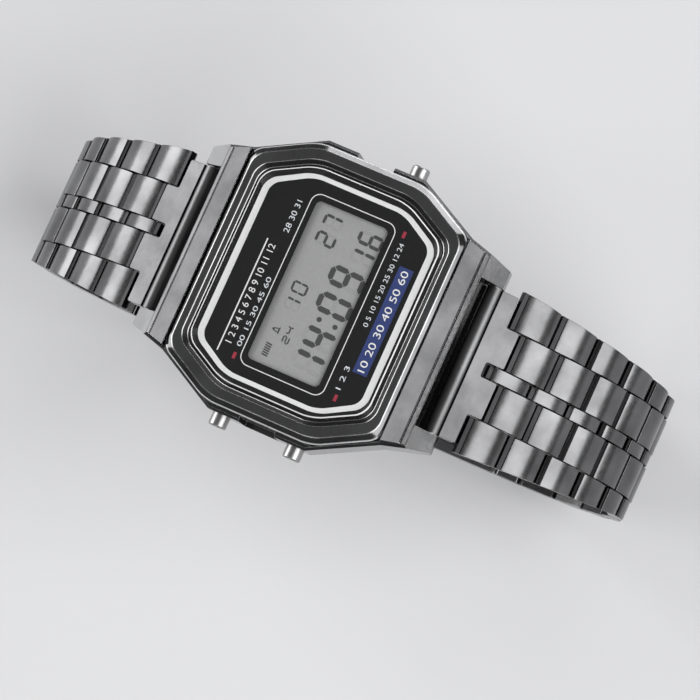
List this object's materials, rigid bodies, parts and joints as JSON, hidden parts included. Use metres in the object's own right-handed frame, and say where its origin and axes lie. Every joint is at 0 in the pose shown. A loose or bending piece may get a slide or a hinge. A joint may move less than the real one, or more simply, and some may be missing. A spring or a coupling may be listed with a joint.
{
  "type": "digital wristwatch",
  "caption": "Digital wristwatch with an octagonal steel case, side pushers, a flat crystal over a liquid-crystal display and a linked steel bracelet with a fold-over clasp.",
  "frame": {"origin": "centre of the case back's outer flat face", "axes": "+Z out of the crystal, +Y to 12 o'clock along the bracelet, +X to 3 o'clock"},
  "size_m": [0.036, 0.078, 0.0471],
  "materials": {
    "case_steel": "dark polished plating",
    "crystal": "clear and flat",
    "panel_print": "dark printed panel",
    "display": "grey liquid-crystal display",
    "white_plastic": "white moulding",
    "strip_rubber": "striped connector rubber",
    "frame_plastic": "black moulding",
    "board": "green circuit board",
    "cell_steel": "plain nickelled steel",
    "sounder_brass": "plain brass disc",
    "back_steel": "brushed, no marks",
    "gasket_rubber": "black rubber",
    "bar_steel": "plain steel",
    "pusher_steel": "bright polished",
    "bracelet_steel": "dark polished plating",
    "clasp_steel": "dark brushed plating"
  },
  "bodies": {
    "case": {"case_middle": "case_steel", "crystal": "crystal", "dial_panel": "panel_print", "lcd_cell": "display", "reflector": "white_plastic", "connector_strips": "strip_rubber", "module_frame": "frame_plastic", "circuit_board": "board", "battery": "cell_steel", "battery_clip": "cell_steel", "sounder": "sounder_brass", "case_back": "back_steel", "back_gasket": "gasket_rubber", "spring_bars": "bar_steel"},
    "pusher_light": {"pusher_light": "pusher_steel"},
    "pusher_mode": {"pusher_mode": "pusher_steel"},
    "pusher_start": {"pusher_start": "pusher_steel"},
    "end_link_12": {"end_link_12": "bracelet_steel"},
    "link_12_01": {"link_12_01": "bracelet_steel"},
    "link_12_02": {"link_12_02": "bracelet_steel"},
    "link_12_03": {"link_12_03": "bracelet_steel"},
    "link_12_04": {"link_12_04": "bracelet_steel"},
    "link_12_05": {"link_12_05": "bracelet_steel"},
    "link_12_06": {"link_12_06": "bracelet_steel"},
    "link_12_07": {"link_12_07": "bracelet_steel"},
    "link_12_08": {"link_12_08": "bracelet_steel"},
    "link_12_09": {"link_12_09": "bracelet_steel"},
    "link_12_10": {"link_12_10": "bracelet_steel"},
    "end_link_6": {"end_link_6": "bracelet_steel"},
    "link_6_01": {"link_6_01": "bracelet_steel"},
    "link_6_02": {"link_6_02": "bracelet_steel"},
    "link_6_03": {"link_6_03": "bracelet_steel"},
    "link_6_04": {"link_6_04": "bracelet_steel"},
    "link_6_05": {"link_6_05": "bracelet_steel"},
    "link_6_06": {"link_6_06": "bracelet_steel"},
    "link_6_07": {"link_6_07": "bracelet_steel"},
    "link_6_08": {"link_6_08": "bracelet_steel"},
    "link_6_09": {"link_6_09": "bracelet_steel"},
    "link_6_10": {"link_6_10": "bracelet_steel"},
    "clasp_frame": {"clasp_frame": "clasp_steel"},
    "clasp_cover": {"clasp_cover": "clasp_steel"}
  },
  "joints": [
    {"name": "pusher_light_press", "type": "slide", "parent": "case", "child": "pusher_light", "axis": [1, 0, 0], "range_m": [0, 0.0008], "stiffness_N_per_m": 400, "springref_m": -0.0005},
    {"name": "pusher_mode_press", "type": "slide", "parent": "case", "child": "pusher_mode", "axis": [1, 0, 0], "range_m": [0, 0.0008], "stiffness_N_per_m": 400, "springref_m": -0.0005},
    {"name": "pusher_start_press", "type": "slide", "parent": "case", "child": "pusher_start", "axis": [-1, 0, 0], "range_m": [0, 0.0008], "stiffness_N_per_m": 400, "springref_m": -0.0005},
    {"name": "clasp_cover_hinge", "type": "hinge", "parent": "clasp_frame", "child": "clasp_cover", "pos_m": [0, 0.01885, -0.03806], "axis": [1, 0, 0], "range_deg": [0, 100]},
    {"name": "end_link_12_swing", "type": "hinge", "parent": "case", "child": "end_link_12", "pos_m": [0, 0.0176, 0.003], "axis": [-1, 0, 0], "range_deg": [-21, 0]},
    {"name": "end_link_6_swing", "type": "hinge", "parent": "case", "child": "end_link_6", "pos_m": [0, -0.0176, 0.003], "axis": [1, 0, 0], "range_deg": [-21, 0]},
    {"name": "clasp_swing", "type": "hinge", "parent": "link_12_10", "child": "clasp_frame", "pos_m": [0, 0.02345, -0.03776], "axis": [-1, 0, 0], "range_deg": [-20.83, 0]},
    {"name": "link_12_01_swing", "type": "hinge", "parent": "end_link_12", "child": "link_12_01", "pos_m": [0, 0.02117, 0.00184], "axis": [-1, 0, 0], "range_deg": [-18, 0]},
    {"name": "link_12_02_swing", "type": "hinge", "parent": "link_12_01", "child": "link_12_02", "pos_m": [0, 0.02569, -0.00109], "axis": [-1, 0, 0], "range_deg": [-8.5, 0]},
    {"name": "link_12_03_swing", "type": "hinge", "parent": "link_12_02", "child": "link_12_03", "pos_m": [0, 0.02991, -0.00445], "axis": [-1, 0, 0], "range_deg": [-11.5, 0]},
    {"name": "link_12_04_swing", "type": "hinge", "parent": "link_12_03", "child": "link_12_04", "pos_m": [0, 0.03358, -0.00839], "axis": [-1, 0, 0], "range_deg": [-14.5, 0]},
    {"name": "link_12_05_swing", "type": "hinge", "parent": "link_12_04", "child": "link_12_05", "pos_m": [0, 0.0364, -0.01299], "axis": [-1, 0, 0], "range_deg": [-17.5, 0]},
    {"name": "link_12_06_swing", "type": "hinge", "parent": "link_12_05", "child": "link_12_06", "pos_m": [0, 0.03797, -0.01814], "axis": [-1, 0, 0], "range_deg": [-20.83, 0]},
    {"name": "link_12_07_swing", "type": "hinge", "parent": "link_12_06", "child": "link_12_07", "pos_m": [0, 0.03789, -0.02353], "axis": [-1, 0, 0], "range_deg": [-20.83, 0]},
    {"name": "link_12_08_swing", "type": "hinge", "parent": "link_12_07", "child": "link_12_08", "pos_m": [0, 0.03617, -0.02864], "axis": [-1, 0, 0], "range_deg": [-20.83, 0]},
    {"name": "link_12_09_swing", "type": "hinge", "parent": "link_12_08", "child": "link_12_09", "pos_m": [0, 0.03296, -0.03297], "axis": [-1, 0, 0], "range_deg": [-20.83, 0]},
    {"name": "link_12_10_swing", "type": "hinge", "parent": "link_12_09", "child": "link_12_10", "pos_m": [0, 0.02858, -0.03611], "axis": [-1, 0, 0], "range_deg": [-20.83, 0]},
    {"name": "link_6_01_swing", "type": "hinge", "parent": "end_link_6", "child": "link_6_01", "pos_m": [0, -0.02117, 0.00184], "axis": [1, 0, 0], "range_deg": [-18, 0]},
    {"name": "link_6_02_swing", "type": "hinge", "parent": "link_6_01", "child": "link_6_02", "pos_m": [0, -0.02569, -0.00109], "axis": [1, 0, 0], "range_deg": [-8.5, 0]},
    {"name": "link_6_03_swing", "type": "hinge", "parent": "link_6_02", "child": "link_6_03", "pos_m": [0, -0.02991, -0.00445], "axis": [1, 0, 0], "range_deg": [-11.5, 0]},
    {"name": "link_6_04_swing", "type": "hinge", "parent": "link_6_03", "child": "link_6_04", "pos_m": [0, -0.03358, -0.00839], "axis": [1, 0, 0], "range_deg": [-14.5, 0]},
    {"name": "link_6_05_swing", "type": "hinge", "parent": "link_6_04", "child": "link_6_05", "pos_m": [0, -0.0364, -0.01299], "axis": [1, 0, 0], "range_deg": [-17.5, 0]},
    {"name": "link_6_06_swing", "type": "hinge", "parent": "link_6_05", "child": "link_6_06", "pos_m": [0, -0.03797, -0.01814], "axis": [1, 0, 0], "range_deg": [-20.83, 0]},
    {"name": "link_6_07_swing", "type": "hinge", "parent": "link_6_06", "child": "link_6_07", "pos_m": [0, -0.03789, -0.02353], "axis": [1, 0, 0], "range_deg": [-20.83, 0]},
    {"name": "link_6_08_swing", "type": "hinge", "parent": "link_6_07", "child": "link_6_08", "pos_m": [0, -0.03617, -0.02864], "axis": [1, 0, 0], "range_deg": [-20.83, 0]},
    {"name": "link_6_09_swing", "type": "hinge", "parent": "link_6_08", "child": "link_6_09", "pos_m": [0, -0.03296, -0.03297], "axis": [1, 0, 0], "range_deg": [-20.83, 0]},
    {"name": "link_6_10_swing", "type": "hinge", "parent": "link_6_09", "child": "link_6_10", "pos_m": [0, -0.02858, -0.03611], "axis": [1, 0, 0], "range_deg": [-20.83, 0]}
  ]
}
